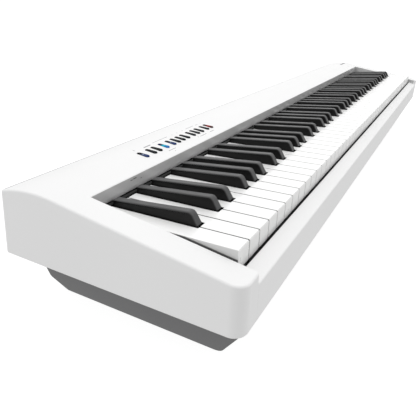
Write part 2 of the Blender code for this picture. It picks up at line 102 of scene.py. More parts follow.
# --- materials

def new_material(name):
    material = bpy.data.materials.new(name)
    material.use_nodes = True
    shader = material.node_tree.nodes["Principled BSDF"]
    return material, material.node_tree, shader


def link(tree, start, end):
    tree.links.new(start, end)


def object_coordinates(tree):
    return tree.nodes.new("ShaderNodeTexCoord").outputs["Object"]


def noise(tree, vector, scale, detail=2.0):
    node = tree.nodes.new("ShaderNodeTexNoise")
    node.inputs["Scale"].default_value = scale
    node.inputs["Detail"].default_value = detail
    link(tree, vector, node.inputs["Vector"])
    return node.outputs["Fac"]


def remap(tree, value, low, high, source_low=0.0, source_high=1.0):
    node = tree.nodes.new("ShaderNodeMapRange")
    node.inputs["From Min"].default_value = source_low
    node.inputs["From Max"].default_value = source_high
    node.inputs["To Min"].default_value = low
    node.inputs["To Max"].default_value = high
    link(tree, value, node.inputs["Value"])
    return node.outputs["Result"]


def ramp(tree, value, stops):
    node = tree.nodes.new("ShaderNodeValToRGB")
    elements = node.color_ramp.elements
    while len(elements) < len(stops):
        elements.new(0.5)
    for element, (position, colour) in zip(elements, stops):
        element.position = position
        element.color = (*colour, 1.0)
    link(tree, value, node.inputs["Fac"])
    return node.outputs["Color"]


def axes_of(tree, vector):
    node = tree.nodes.new("ShaderNodeSeparateXYZ")
    link(tree, vector, node.inputs["Vector"])
    return node.outputs


def calculate(tree, operation, *values):
    """A Math node; each value is a number or another node's output."""
    node = tree.nodes.new("ShaderNodeMath")
    node.operation = operation
    for socket, value in zip(node.inputs, values):
        if isinstance(value, float):
            socket.default_value = value
        else:
            link(tree, value, socket)
    return node.outputs["Value"]


def reach_along(tree, vector, direction):
    """Dot product of a vector with a fixed direction."""
    node = tree.nodes.new("ShaderNodeVectorMath")
    node.operation = "DOT_PRODUCT"
    node.inputs[1].default_value = direction
    link(tree, vector, node.inputs[0])
    return node.outputs["Value"]


def bump(tree, height, strength, distance):
    node = tree.nodes.new("ShaderNodeBump")
    node.inputs["Strength"].default_value = strength
    node.inputs["Distance"].default_value = distance
    link(tree, height, node.inputs["Height"])
    return node.outputs["Normal"]


def moulded(name, colour, roughness, grain=0.0006, depth=0.25, tone=0.02, shine=0.5):
    """Moulded plastic: faint cloudy tone, uneven gloss, and a fine spark-eroded grain."""
    material, tree, shader = new_material(name)
    place = object_coordinates(tree)
    cloud = noise(tree, place, 9.0, 3.0)
    dark = tuple(channel * (1 - tone) for channel in colour)
    light = tuple(min(1.0, channel * (1 + tone)) for channel in colour)
    link(tree, ramp(tree, cloud, [(0.3, dark), (0.7, light)]), shader.inputs["Base Color"])
    smear = noise(tree, place, 40.0, 4.0)
    gloss = remap(tree, smear, roughness - 0.03, roughness + 0.03, 0.3, 0.7)
    link(tree, gloss, shader.inputs["Roughness"])
    pits = noise(tree, place, 1.0 / grain, 1.0)
    link(tree, bump(tree, pits, depth, grain * 0.05), shader.inputs["Normal"])
    shader.inputs["Specular IOR Level"].default_value = shine
    return material


def brushed(name, colour, roughness):
    """Rolled steel: fine streaks along one axis."""
    material, tree, shader = new_material(name)
    mapping = tree.nodes.new("ShaderNodeMapping")
    mapping.inputs["Scale"].default_value = (4.0, 900.0, 900.0)
    link(tree, object_coordinates(tree), mapping.inputs["Vector"])
    streaks = noise(tree, mapping.outputs["Vector"], 1.0, 3.0)
    shade = [tuple(channel * factor for channel in colour) for factor in (0.8, 1.1)]
    link(tree, ramp(tree, streaks, [(0.3, shade[0]), (0.7, shade[1])]), shader.inputs["Base Color"])
    link(tree, remap(tree, streaks, roughness - 0.08, roughness + 0.08), shader.inputs["Roughness"])
    link(tree, bump(tree, streaks, 0.2, 0.00004), shader.inputs["Normal"])
    shader.inputs["Metallic"].default_value = 1.0
    return material


def felt(name, colour):
    """Pressed wool felt: matted fibres and a soft sheen."""
    material, tree, shader = new_material(name)
    place = object_coordinates(tree)
    fibres = noise(tree, place, 2200.0, 6.0)
    dark = tuple(channel * 0.6 for channel in colour)
    link(tree, ramp(tree, fibres, [(0.3, dark), (0.7, colour)]), shader.inputs["Base Color"])
    link(tree, bump(tree, fibres, 0.8, 0.0003), shader.inputs["Normal"])
    shader.inputs["Roughness"].default_value = 0.95
    shader.inputs["Sheen Weight"].default_value = 0.05
    return material


def circuit_board(name):
    """Solder mask over copper traces, drawn by a stepped grid pattern."""
    material, tree, shader = new_material(name)
    place = object_coordinates(tree)
    brick = tree.nodes.new("ShaderNodeTexBrick")
    brick.inputs["Scale"].default_value = 120.0
    brick.inputs["Mortar Size"].default_value = 0.06
    brick.inputs["Color1"].default_value = (0.010, 0.085, 0.030, 1)
    brick.inputs["Color2"].default_value = (0.014, 0.110, 0.040, 1)
    brick.inputs["Mortar"].default_value = (0.030, 0.200, 0.070, 1)
    link(tree, place, brick.inputs["Vector"])
    link(tree, brick.outputs["Color"], shader.inputs["Base Color"])
    link(tree, remap(tree, noise(tree, place, 300.0), 0.25, 0.45), shader.inputs["Roughness"])
    link(tree, bump(tree, brick.outputs["Fac"], 0.4, 0.00005), shader.inputs["Normal"])
    return material


def outer_side_painted_shade_material(name, colour, shade):
    """Outer side of the outermost white keys, in painted shade: a darker copy of the key white, near-black
    as painted shadow where it goes down beside the cheek.
    """
    material, tree, shader = new_material(name)
    place = object_coordinates(tree)
    axes = axes_of(tree, place)
    level = calculate(tree, "MULTIPLY_ADD", axes["Y"], -math.tan(SLOPE), axes["Z"])
    rim = slope_height(0)
    # Painted shadow: dark below the cheek's rim, blending to the darker key colour just above it.
    clear = remap(tree, level, 0.0, 1.0, rim - 0.0005, rim + 0.0004)
    link(tree, ramp(tree, clear, [(0.0, shade), (1.0, colour)]), shader.inputs["Base Color"])
    grain = noise(tree, place, 1600.0, 1.0)
    link(tree, bump(tree, grain, 0.05, 0.00003), shader.inputs["Normal"])
    shader.inputs["Roughness"].default_value = 0.4
    return material


def sharp_material(name, top, side):
    """Black key plastic with painted light: its colour follows the facing, lighter on top as a painted
    sheen and near-black on the sides as painted shade; its satin roughness varies in patches.
    """
    material, tree, shader = new_material(name)
    place = object_coordinates(tree)
    geometry = tree.nodes.new("ShaderNodeNewGeometry")
    # Painted light: upward faces lighter as painted sheen, sideways faces near-black as painted shade.
    upward = remap(tree, axes_of(tree, geometry.outputs["True Normal"])["Z"], 0.0, 1.0, 0.1, 0.6)
    link(tree, ramp(tree, upward, [(0.0, side), (1.0, top)]), shader.inputs["Base Color"])
    wear = noise(tree, place, 60.0, 4.0)
    link(tree, remap(tree, wear, 0.36, 0.46, 0.3, 0.7), shader.inputs["Roughness"])
    grain = noise(tree, place, 2500.0, 1.0)
    link(tree, bump(tree, grain, 0.3, 0.00002), shader.inputs["Normal"])
    shader.inputs["Specular IOR Level"].default_value = 0.22
    return material


def button_material(name, painted_light_tints, glow=None):
    """Button cap with painted light: its colour runs from a dark rear end as painted shade, through a
    lighter middle as a painted highlight, to the front end; a lit one also glows along the same ramp.
    """
    material, tree, shader = new_material(name)
    place = object_coordinates(tree)
    along = remap(tree, axes_of(tree, place)["Y"], 1.0, 0.0, BUTTON_LOW.y, BUTTON_HIGH.y)
    # Painted shade at the rear end, painted highlight in the middle.
    stops = (0.30, 0.50, 0.80)
    link(tree, ramp(tree, along, list(zip(stops, painted_light_tints))), shader.inputs["Base Color"])
    smear = noise(tree, place, 400.0, 3.0)
    link(tree, remap(tree, smear, 0.26, 0.36), shader.inputs["Roughness"])
    link(tree, bump(tree, noise(tree, place, 2500.0, 1.0), 0.15, 0.00003), shader.inputs["Normal"])
    shader.inputs["Specular IOR Level"].default_value = 0.015
    # The glow is brightest in the middle, partly a lit button and partly painted highlight.
    if glow:
        link(tree, ramp(tree, along, list(zip(stops, glow))), shader.inputs["Emission Color"])
        shader.inputs["Emission Strength"].default_value = 0.35
    return material


# --- mesh helpers

def finish_mesh(name, mesh_data, material, body, smooth_angle=40.0):
    """Makes the object, shades it smooth below the angle, and lets it ride on its body."""
    bmesh.ops.remove_doubles(mesh_data, verts=mesh_data.verts, dist=1e-7)
    bmesh.ops.recalc_face_normals(mesh_data, faces=mesh_data.faces)
    mesh = bpy.data.meshes.new(name)
    mesh_data.to_mesh(mesh)
    mesh_data.free()
    materials = material if isinstance(material, list) else [material]
    for entry in materials:
        mesh.materials.append(entry)
    mesh.shade_smooth()
    mesh.set_sharp_from_angle(angle=math.radians(smooth_angle))
    item = bpy.data.objects.new(name, mesh)
    bpy.context.scene.collection.objects.link(item)
    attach(item, body)
    return item


def even_shading(item):
    """Large faces keep their own normals, so that only the rounded edges curve."""
    modifier = item.modifiers.new("even_shading", "WEIGHTED_NORMAL")
    modifier.keep_sharp = True
    modifier.weight = 100


def circle(centre, radius, steps):
    turns = [2 * math.pi * step / steps for step in range(steps)]
    return [(centre[0] + radius * math.cos(t), centre[1] + radius * math.sin(t)) for t in turns]


def quarter_turns(steps):
    return [math.pi / 2 * step / steps for step in range(steps + 1)]


def corner_arc(before, corner, after, radius, steps):
    """Points that round the corner of a path, tangent to both of its sides."""
    here = Vector(corner)
    back = (Vector(before) - here).normalized()
    ahead = (Vector(after) - here).normalized()
    half = back.angle(ahead) / 2
    reach = min(radius / math.tan(half), (Vector(before) - here).length * 0.49)
    reach = min(reach, (Vector(after) - here).length * 0.49)
    size = reach * math.tan(half)
    centre = here + (back + ahead).normalized() * (size / math.sin(half))
    start = here + back * reach - centre
    end = here + ahead * reach - centre
    turn = start.angle_signed(end)
    points = []
    for step in range(steps + 1):
        points.append(tuple(centre + Matrix.Rotation(-turn * step / steps, 2) @ start))
    return points


def rounded_path(corners, steps=3):
    """A closed outline from (x, y, radius) corners; a radius of 0 keeps its corner sharp."""
    points = []
    count = len(corners)
    for index, (x, y, radius) in enumerate(corners):
        if radius <= 0:
            points.append((x, y))
            continue
        before = corners[index - 1][:2]
        after = corners[(index + 1) % count][:2]
        points += corner_arc(before, (x, y), after, radius, steps)
    return points


def offset_path(points, inset):
    """The closed outline moved inwards, with mitred corners."""
    count = len(points)
    moved = []
    for index in range(count):
        here = Vector(points[index])
        first = (here - Vector(points[index - 1])).normalized()
        second = (Vector(points[(index + 1) % count]) - here).normalized()
        normal = Vector((-first.y - second.y, first.x + second.x)).normalized()
        stretch = max(0.3, normal.dot(Vector((-first.y, first.x))))
        moved.append(tuple(here + normal * (inset / stretch)))
    return moved


def with_stations(points, stations):
    """The closed outline with a point added wherever a side crosses one of the y stations."""
    result = []
    count = len(points)
    for index in range(count):
        start = points[index]
        end = points[(index + 1) % count]
        result.append(start)
        rise = end[1] - start[1]
        crossed = [s for s in stations if min(start[1], end[1]) + 1e-6 < s < max(start[1], end[1]) - 1e-6]
        for station in sorted(crossed, reverse=rise < 0):
            share = (station - start[1]) / rise
            result.append((start[0] + (end[0] - start[0]) * share, station))
    return result


def bridge(mesh_data, lower, upper):
    """Quads between two rings of vertices with the same count."""
    for index in range(len(lower)):
        after = (index + 1) % len(lower)
        mesh_data.faces.new((lower[index], lower[after], upper[after], upper[index]))


def skin(mesh_data, rings, ends=True):
    """Vertices and quads through rings of points, with a face over each end if asked."""
    made = [[mesh_data.verts.new(point) for point in ring] for ring in rings]
    for lower, upper in zip(made, made[1:]):
        bridge(mesh_data, lower, upper)
    if ends:
        mesh_data.faces.new(made[0])
        mesh_data.faces.new(made[-1])
    return made


def capped(mesh_data, ring, stations):
    """Fills a ring, with an edge across the fill at every y station that it spans."""
    faces = [mesh_data.faces.new(ring)]
    for station in stations:
        edges = {edge for face in faces for edge in face.edges}
        verts = {vert for face in faces for vert in face.verts}
        cut = bmesh.ops.bisect_plane(
            mesh_data,
            geom=list(verts) + list(edges) + faces,
            dist=1e-6,
            plane_co=(0, station, 0),
            plane_no=(0, 1, 0),
        )
        faces = [item for item in cut["geom"] if isinstance(item, bmesh.types.BMFace)]


def slab(mesh_data, outline, top, bottom, stations, edge):
    """A closed body over a plan outline, between two height functions of y, with a
    rounded top edge of radius edge and a small chamfer below."""
    outline = with_stations(outline, stations)
    chamfer = edge * 0.5
    rings = [[(x, y, bottom(y)) for x, y in offset_path(outline, chamfer)]]
    rings.append([(x, y, bottom(y) + chamfer) for x, y in outline])
    for turn in quarter_turns(3):
        ring = offset_path(outline, edge * (1 - math.cos(turn)))
        drop = edge * (1 - math.sin(turn))
        rings.append([(x, y, top(y) - drop) for x, y in ring])
    made = skin(mesh_data, rings, ends=False)
    capped(mesh_data, made[0], stations)
    capped(mesh_data, made[-1], stations)


def piecewise(points):
    """A height function of y through the given (y, z) points."""
    def height(y):
        if y <= points[0][0]:
            return points[0][1]
        for (y0, z0), (y1, z1) in zip(points, points[1:]):
            if y <= y1:
                return z0 + (z1 - z0) * (y - y0) / (y1 - y0)
        return points[-1][1]
    return height


def swept_rings(profile, low, high, edge, steps):
    """A (y, z) profile swept along X from low to high, with its two ends rounded over."""
    rings = []
    turns = quarter_turns(steps) if edge else [0.0]
    for end, side in ((low, 1), (high, -1)):
        for turn in turns[::side]:
            x = end + side * edge * (1 - math.cos(turn))
            inset = edge * (1 - math.sin(turn))
            rings.append([(x, y, z) for y, z in offset_path(profile, inset)])
    return rings


def extruded(name, profile, half_length, material, edge):
    """A fixed piece with the same side view all along X, its two ends rounded over."""
    mesh_data = bmesh.new()
    skin(mesh_data, swept_rings(profile, -half_length, half_length, edge, 3))
    item = finish_mesh(name, mesh_data, material, "piano")
    even_shading(item)
    return item


def turned(mesh_data, profile, centre, steps=48):
    """A body turned about a vertical axis; the profile's ends are on the axis."""
    rings = [
        [(x, y, height) for x, y in circle(centre, radius, steps)]
        for radius, height in profile[1:-1]
    ]
    made = skin(mesh_data, rings, ends=False)
    for ring, point in ((made[0], profile[0]), (made[-1], profile[-1])):
        tip = mesh_data.verts.new((centre[0], centre[1], point[1]))
        for index in range(steps):
            mesh_data.faces.new((ring[index], ring[(index + 1) % steps], tip))


def disc_of(node):
    """Middle and radius of a round CAD node that lies flat."""
    low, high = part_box(node)
    return (low + high) / 2, (high.x - low.x) / 2


def add_box(mesh_data, low, high):
    corners = [(x, y, z) for z in (low[2], high[2]) for y in (low[1], high[1]) for x in (low[0], high[0])]
    verts = [mesh_data.verts.new(corner) for corner in corners]
    for quad in ((0, 1, 3, 2), (4, 5, 7, 6), (0, 1, 5, 4), (2, 3, 7, 6), (0, 2, 6, 4), (1, 3, 7, 5)):
        mesh_data.faces.new([verts[index] for index in quad])


def cut_with(item, mesh_data):
    """Cuts closed shapes out of a piece and applies the cut."""
    bmesh.ops.recalc_face_normals(mesh_data, faces=mesh_data.faces)
    mesh = bpy.data.meshes.new("cutter")
    mesh_data.to_mesh(mesh)
    mesh_data.free()
    cutter = bpy.data.objects.new("cutter", mesh)
    bpy.context.scene.collection.objects.link(cutter)
    modifier = item.modifiers.new("cut", "BOOLEAN")
    modifier.operation = "DIFFERENCE"
    modifier.solver = "EXACT"
    modifier.object = cutter
    graph = bpy.context.evaluated_depsgraph_get()
    result = bpy.data.meshes.new_from_object(item.evaluated_get(graph))
    item.modifiers.remove(modifier)
    item.data = result
    bpy.data.objects.remove(cutter)


# --- case

def slope_height(y):
    """The straight slope in front of the crown, continued either way."""
    crown_at = CROWN_Y - CROWN_RADIUS * math.sin(SLOPE)
    base = CROWN - CROWN_RADIUS * (1 - math.cos(SLOPE))
    return base + (y - crown_at) * math.tan(SLOPE)


def top_height(y):
    """The case's top surface: slope, crown, fall."""
    crown_start = CROWN_Y - CROWN_RADIUS * math.sin(SLOPE)
    crown_end = CROWN_Y + CROWN_RADIUS * math.sin(FALL)
    if y < crown_start:
        return slope_height(y)
    if y < crown_end:
        return CROWN - CROWN_RADIUS + math.sqrt(CROWN_RADIUS ** 2 - (y - CROWN_Y) ** 2)
    return CROWN - CROWN_RADIUS * (1 - math.cos(FALL)) - (y - crown_end) * math.tan(FALL)


def crown_stations():
    """Where the top's curve between slope and fall takes its points."""
    start = CROWN_Y - CROWN_RADIUS * math.sin(SLOPE)
    end = CROWN_Y + CROWN_RADIUS * math.sin(FALL)
    return [start + (end - start) * step / CROWN_STEPS for step in range(CROWN_STEPS + 1)]


def case_plan(outer, inner, cheek_radius):
    """The U of the case round the key well, set in by outer on its outside and by inner
    along the well. Each point is (x, y, share), where share is 1 along the well."""
    left = -HALF + outer
    front = FRONT + outer
    rear = REAR_TOP - outer
    well = WELL + inner
    board = NAMEBOARD + inner
    cheek_radius = max(cheek_radius - outer, 0.0001)
    front_radius = CORNER_FRONT - outer
    rear_radius = max(CORNER_REAR - outer, 0.0002)
    well_radius = CORNER_WELL + inner
    corners = [
        (left, front, front_radius, 12, 0, 0),
        (-well, front, cheek_radius, 5, 0, 1),
        (-well, board, well_radius, 4, 1, 1),
        (well, board, well_radius, 4, 1, 1),
        (well, front, cheek_radius, 5, 1, 0),
        (-left, front, front_radius, 12, 0, 0),
        (-left, rear, rear_radius, 8, 0, 0),
        (left, rear, rear_radius, 8, 0, 0),
    ]
    points = []
    for index, (x, y, radius, steps, share_in, share_out) in enumerate(corners):
        before = corners[index - 1][:2]
        after = corners[(index + 1) % len(corners)][:2]
        for step, point in enumerate(corner_arc(before, (x, y), after, radius, steps)):
            points.append((*point, share_in + (share_out - share_in) * step / steps))
    return side_stations(points)


def side_stations(points):
    """Adds points for the crown along the two ends, and for the plate along the well walls."""
    result = []
    for index, start in enumerate(points):
        end = points[(index + 1) % len(points)]
        result.append(start)
        rise = end[1] - start[1]
        if abs(rise) < 0.1:
            continue
        at_end = abs(start[0]) > WELL + 0.01
        stations = crown_stations() if at_end else PLATE_STATIONS
        share = 0 if at_end else 1
        for station in sorted(stations, reverse=rise < 0):
            x = start[0] + (end[0] - start[0]) * (station - start[1]) / rise
            result.append((x, station, share))
    return result


def lean(y, z):
    """How far back the rear wall's lean carries a point below the top edge."""
    share = min(1.0, max(0.0, (y - LEAN_START) / (REAR_TOP - LEAN_START)))
    top = top_height(REAR_TOP)
    return y + share * (REAR_FOOT - REAR_TOP) * (top - z) / (top - CASE_FOOT)


def plan_ring(mesh_data, plan, height):
    """A ring of the case over a plan, at the height that each point's y and share give."""
    verts = []
    for x, y, share in plan:
        z = height(y, share)
        verts.append(mesh_data.verts.new((x, lean(y, z), z)))
    return verts


def case_ring(mesh_data, outer, inner, drop_outer, drop_inner):
    """A ring near the case's top, that far below the top surface."""
    def height(y, share):
        return top_height(y) - (drop_outer + (drop_inner - drop_outer) * share)
    return plan_ring(mesh_data, case_plan(outer, inner, CHEEK_RADIUS), height)


def foot_height(y, share):
    """Where the walls end: outside at the case's foot, and in the well above the plate, or
    above the keys along the nameboard."""
    if share < 1 or y < PLATE_STATIONS[1] - 1e-6:
        return CASE_FOOT
    return NAMEBOARD_FOOT if y > NAMEBOARD - 0.0012 else PLATE_TOP + 0.0003


def foot_ring(mesh_data, outer, inner, lift):
    """A ring at the lower end of the case's walls."""
    def height(y, share):
        return foot_height(y, share) + lift
    return plan_ring(mesh_data, case_plan(outer, inner, 0.0), height)


def shoulder_ring(mesh_data, level, cheek_radius):
    """A ring of the case's upright walls, at a share of the way up each."""
    def height(y, share):
        foot = foot_height(y, share) + EDGE_FOOT
        return foot + (top_height(y) - EDGE_OUTER - foot) * level
    return plan_ring(mesh_data, case_plan(0.0, 0.0, cheek_radius), height)


def case_shell(white, grey):
    """The white upper case in one skin: cheeks, nameboard, crowned top and rear wall."""
    mesh_data = bmesh.new()
    rings = [foot_ring(mesh_data, WALL, WALL, 0.0)]
    for turn in quarter_turns(4):
        inset = EDGE_FOOT * (1 - math.sin(turn))
        lift = EDGE_FOOT * (1 - math.cos(turn))
        rings.append(foot_ring(mesh_data, inset, inset * 0.4, lift))
    rings.append(shoulder_ring(mesh_data, 0.80, 0.0))
    rings.append(shoulder_ring(mesh_data, 0.86, CHEEK_RADIUS))
    for turn in quarter_turns(EDGE_STEPS):
        insets = [edge * (1 - math.cos(turn)) for edge in (EDGE_OUTER, EDGE_WELL)]
        drops = [edge * (1 - math.sin(turn)) for edge in (EDGE_OUTER, EDGE_WELL)]
        rings.append(case_ring(mesh_data, *insets, *drops))
    for lower, upper in zip(rings, rings[1:]):
        bridge(mesh_data, lower, upper)
    stations = crown_stations()
    capped(mesh_data, rings[-1], stations)
    inside = case_ring(mesh_data, WALL, WALL, WALL, WALL)
    bridge(mesh_data, inside, rings[0])
    capped(mesh_data, inside, stations)
    for face in mesh_data.faces:
        middle = face.calc_center_median()
        on_board = abs(middle.y - NAMEBOARD) < 0.0004 and abs(middle.x) < WELL
        on_cheek = abs(abs(middle.x) - WELL) < 0.0004 and RAIL_BACK < middle.y < NAMEBOARD
        if (on_board or on_cheek) and middle.z < top_height(middle.y) - EDGE_WELL * 0.6:
            face.material_index = 1
    shell = finish_mesh("case_shell", mesh_data, [white, grey], "piano")
    cutter = bmesh.new()
    for name in BUTTONS:
        low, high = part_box(name)
        plan = button_plan((low.x + high.x) / 2, CAP_GROW + CAP_CLEARANCE, CAP_TAPER)
        add_outline_prism(cutter, plan, 0.14, 0.16)
    low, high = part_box("jack_panel")
    add_box(cutter, (low.x + 0.005, high.y - 0.002, 0.073), (high.x - 0.005, 0.16, 0.095))
    cut_with(shell, cutter)
    shell.data.set_sharp_from_angle(angle=math.radians(40))
    even_shading(shell)
    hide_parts("left_end_cap", "right_end_cap", "top_panel")
    return shell


def add_outline_prism(mesh_data, outline, low, high):
    skin(mesh_data, [[(x, y, z) for x, y in outline] for z in (low, high)])


def front_rail(white):
    """The rail in front of the keys, with rounded front and back edges."""
    rise = (RAIL_TOP - RAIL_FRONT_TOP) / (RAIL_BACK - FRONT)
    under = WALL * math.hypot(1, rise)
    corners = [
        (FRONT, CASE_FOOT, EDGE_FOOT),
        (FRONT + WALL, CASE_FOOT, 0.0006),
        (FRONT + WALL, RAIL_FRONT_TOP + WALL * rise - under, 0.001),
        (RAIL_BACK - WALL, RAIL_TOP - WALL * rise - under, 0.001),
        (RAIL_BACK - WALL, RAIL_LIP, 0.0006),
        (RAIL_BACK, RAIL_LIP, 0.0006),
        (RAIL_BACK, RAIL_TOP, 0.0009),
        (FRONT, RAIL_FRONT_TOP, EDGE_OUTER),
    ]
    rail = extruded("rail_cover", rounded_path(corners, 5), WELL, white, 0.0)
    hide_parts("front_rail")


def base_shell(grey):
    """The grey lower shell, open at the top, with rounded shoulders."""
    foot = TRAY_LOW.z
    top = TRAY_HIGH.z
    outside = [
        (TRAY_LOW.y, top, 0.0005),
        (-0.1255, 0.0320, 0.012),
        (-0.1070, 0.0062, 0.012),
        (-0.1000, foot, 0.008),
        (0.1020, foot, 0.012),
        (0.1290, 0.0165, 0.008),
        (0.1362, 0.0290, 0.010),
        (TRAY_HIGH.y, top, 0.0005),
    ]
    outer = rounded_path(outside, 6)
    # The outline starts at its highest, foremost point.
    first = outer.index(min(outer, key=lambda point: (-round(point[1], 4), point[0])))
    outer = outer[first:] + outer[:first]
    mesh_data = bmesh.new()
    half = TRAY_HIGH.x
    rings = swept_rings(outer, -half, half, EDGE_FOOT, 4)
    skin(mesh_data, [[(x, y, min(z, top)) for x, y, z in ring] for ring in rings])
    shell = finish_mesh("base_shell", mesh_data, grey, "piano")
    cutter = bmesh.new()
    inner = offset_path(outer, WALL)
    inner = [(y, z if z < top - WALL * 1.5 else top + 0.01) for y, z in inner]
    skin(cutter, [[(x, y, z) for y, z in inner] for x in (WALL - half, half - WALL)])
    cut_with(shell, cutter)
    holes = bmesh.new()
    for name in ("speaker_grille_left", "speaker_grille_right"):
        middle, radius = disc_of(name)
        add_outline_prism(holes, circle(middle, radius + 0.0003, 64), foot - 0.01, foot + 0.01)
    cut_with(shell, holes)
    shell.data.set_sharp_from_angle(angle=math.radians(40))
    even_shading(shell)
    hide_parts("base_tray")


# --- buttons

BUTTONS = sorted((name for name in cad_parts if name.endswith("_button")), key=lambda n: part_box(n)[0].x)
BUTTON_LOW, BUTTON_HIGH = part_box(BUTTONS[0])
BUTTON_Y = (BUTTON_LOW.y + BUTTON_HIGH.y) / 2
CAP_GROW = -0.0009
CAP_TAPER = 0.08
CAP_RIM = 0.0007
CAP_CLEARANCE = 0.00035
BUTTON_SHOULDER = 0.1453
BUTTON_REAR_TOP = 0.1519
BUTTON_FALL = 0.055
PILOT_BUTTONS = ("power_button", "piano_tone_button")
BUTTON_HALF_X = (BUTTON_HIGH.x - BUTTON_LOW.x) / 2
BUTTON_HALF_Y = (BUTTON_HIGH.y - BUTTON_LOW.y) / 2


def button_plan(centre, grow, taper=0.0):
    """Long rounded outline of a button, wider at its front end by the taper."""
    half_x = BUTTON_HALF_X + grow
    half_y = BUTTON_HALF_Y + grow
    radius = half_x * 0.98
    corners = [
        (centre - half_x, BUTTON_Y - half_y, radius),
        (centre + half_x, BUTTON_Y - half_y, radius),
        (centre + half_x, BUTTON_Y + half_y, radius),
        (centre - half_x, BUTTON_Y + half_y, radius),
    ]
    outline = rounded_path(corners, 8)
    return [(centre + (x - centre) * (1 + taper * (BUTTON_Y - y) / half_y), y) for x, y in outline]


def buttons(materials, pilot):
    """Caps with a rounded rim and a shallow dish, each on its hidden flange."""
    rise = BUTTON_REAR_TOP - BUTTON_SHOULDER
    for name in BUTTONS:
        low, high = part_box(name)
        centre = (low.x + high.x) / 2
        cap = button_plan(centre, CAP_GROW, CAP_TAPER)
        flange = button_plan(centre, 0)
        levels = [(flange, low.z - BUTTON_SHOULDER), (flange, 0.0), (cap, 0.0)]
        for turn in quarter_turns(4):
            rim = offset_path(cap, CAP_RIM * (1 - math.cos(turn)))
            levels.append((rim, rise - CAP_RIM * (1 - math.sin(turn))))
        levels.append((offset_path(cap, 0.0013), rise - 0.00012))
        levels.append((offset_path(cap, 0.0019), rise - 0.0002))
        rings = []
        for outline, level in levels:
            fall = BUTTON_FALL * max(0.0, level / rise)
            rings.append([(x, y, BUTTON_SHOULDER + level - fall * (BUTTON_HIGH.y - y)) for x, y in outline])
        mesh_data = bmesh.new()
        skin(mesh_data, rings)
        if name in PILOT_BUTTONS:
            add_pilot(mesh_data, centre)
        tints = [materials.get(name, materials["plain"]), pilot]
        item = finish_mesh(name + "_cap", mesh_data, tints, name)
        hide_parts(name)
        even_shading(item)


def add_pilot(mesh_data, centre):
    """A small domed lens in the middle of a button."""
    level = BUTTON_REAR_TOP - BUTTON_FALL * BUTTON_HALF_Y
    profile = [(0, level - 0.0008), (0.0008, level - 0.0008), (0.0008, level)]
    profile += [(0.0005, level + 0.0002), (0, level + 0.00025)]
    before = set(mesh_data.faces)
    turned(mesh_data, profile, (centre, BUTTON_Y), 16)
    for face in set(mesh_data.faces) - before:
        face.material_index = 1


# --- keys

EPS = 0.00005
FELT_FRONT = 0.0338
FELT_DEPTH = 0.0046
WHITE_FALL = 0.022
WHITE_TOP = WHITE_HIGH.z
WHITE_FRONT = WHITE_LOW.y
BLACK_FRONT = BLACK_LOW.y
NOTCH_FRONT = BLACK_FRONT - 0.002
TAIL_REAR = WHITE_HIGH.y
LUG_FOOT = 0.113
SLOT_TOP = PIVOT.z + SLOT_HALF

LUG = [
    (PIVOT.y - SLOT_HALF - EPS, LUG_FOOT),
    (PIVOT.y - SLOT_HALF + EPS, SLOT_TOP),
    (PIVOT.y + SLOT_HALF - EPS, SLOT_TOP),
    (PIVOT.y + SLOT_HALF + EPS, LUG_FOOT),
]
KEY_NOSE = 0.0018
WHITE_UPPER = [
    (WHITE_FRONT + KEY_NOSE * (1 - math.cos(turn)), WHITE_TOP - KEY_NOSE * (1 - math.sin(turn)))
    for turn in quarter_turns(5)
]
WHITE_UPPER += [
    (FELT_FRONT - 0.0010, WHITE_TOP - WHITE_FALL * (FELT_FRONT - 0.0010 - WHITE_FRONT)),
    (TAIL_START, WHITE_TOP - WHITE_FALL * (TAIL_START - WHITE_FRONT)),
    (0.050, 0.1225),
    (0.108, 0.1225),
    (0.110, 0.1255),
    (TAIL_REAR, 0.1255),
]
WHITE_LOWER = [(WHITE_FRONT, 0.1118), (-0.115, 0.1118), (-0.112, 0.117), (0.060, LUG_FOOT)] + LUG
BLACK_STICK_UPPER = [(0.046, 0.1283), (0.056, 0.1345), (TAIL_REAR, 0.1345)]
BLACK_STICK_LOWER = [(0.080, 0.118), (0.084, 0.1245), (0.108 - EPS, 0.1245), (0.108 + EPS, LUG_FOOT)] + LUG


def stations_of(*curves):
    return sorted({y for curve in curves for y, _ in curve if WHITE_FRONT + 1e-5 < y < TAIL_REAR - 0.001})


def white_steps(octave_x, index, notched=True, first=False):
    """One white key in plan, front to back: (start y, left x, right x)."""
    left = octave_x + index * PITCH + KEY_GAP / 2
    right = left + PITCH - KEY_GAP
    neck_left = left
    neck_right = right
    for centre in BLACK_CENTRES.values():
        centre += octave_x
        if notched and not first and left < centre + NOTCH_HALF < right:
            neck_left = centre + NOTCH_HALF
        if notched and left < centre - NOTCH_HALF < right:
            neck_right = centre - NOTCH_HALF
    slot = octave_x + (WHITE_SLOTS[index] + 0.5) * OCTAVE / 12
    tail = (TAIL_START, slot - TAIL_HALF, slot + TAIL_HALF)
    return [(WHITE_FRONT, left, right), (NOTCH_FRONT, neck_left, neck_right), tail]


def black_steps(octave_x, letter):
    centre = octave_x + BLACK_CENTRES[letter]
    return [(BLACK_BACK - 0.006, centre - TAIL_HALF, centre + TAIL_HALF)]


